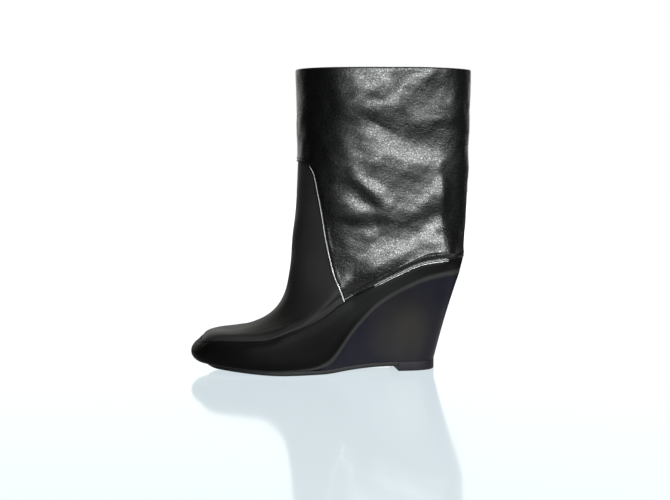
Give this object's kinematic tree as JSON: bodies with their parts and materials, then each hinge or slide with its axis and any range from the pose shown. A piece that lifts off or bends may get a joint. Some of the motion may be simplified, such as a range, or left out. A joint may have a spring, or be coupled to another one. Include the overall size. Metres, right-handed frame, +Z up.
{
  "type": "wedge ankle boot",
  "caption": "Left ankle boot with a tall leather-covered wedge heel, a wide straight leg, a raised toe apron and a thin sole.",
  "frame": {"origin": "on the floor, at the middle of the heel lift's underside", "axes": "+Z up, -X towards the toe, -Y towards the outer side of the left foot"},
  "size_m": [0.2369, 0.0904, 0.252],
  "materials": {
    "smooth_leather": "smooth black leather with a soft sheen",
    "leg_leather": "grained glossy black leather with soft creases",
    "foxing_leather": "smooth black leather, almost matte",
    "wedge_leather": "smooth black leather stretched over the wedge, almost matte",
    "sole": "black sole with a polished grey-looking edge",
    "lift": "matte black rubber",
    "sock_lining": "black sock lining, guessed"
  },
  "bodies": {
    "root": {"upper": "smooth_leather", "leg": "leg_leather", "foxing": "foxing_leather", "wedge_heel": "wedge_leather", "outsole": "sole", "heel_lift": "lift", "insole": "sock_lining"}
  },
  "joints": []
}
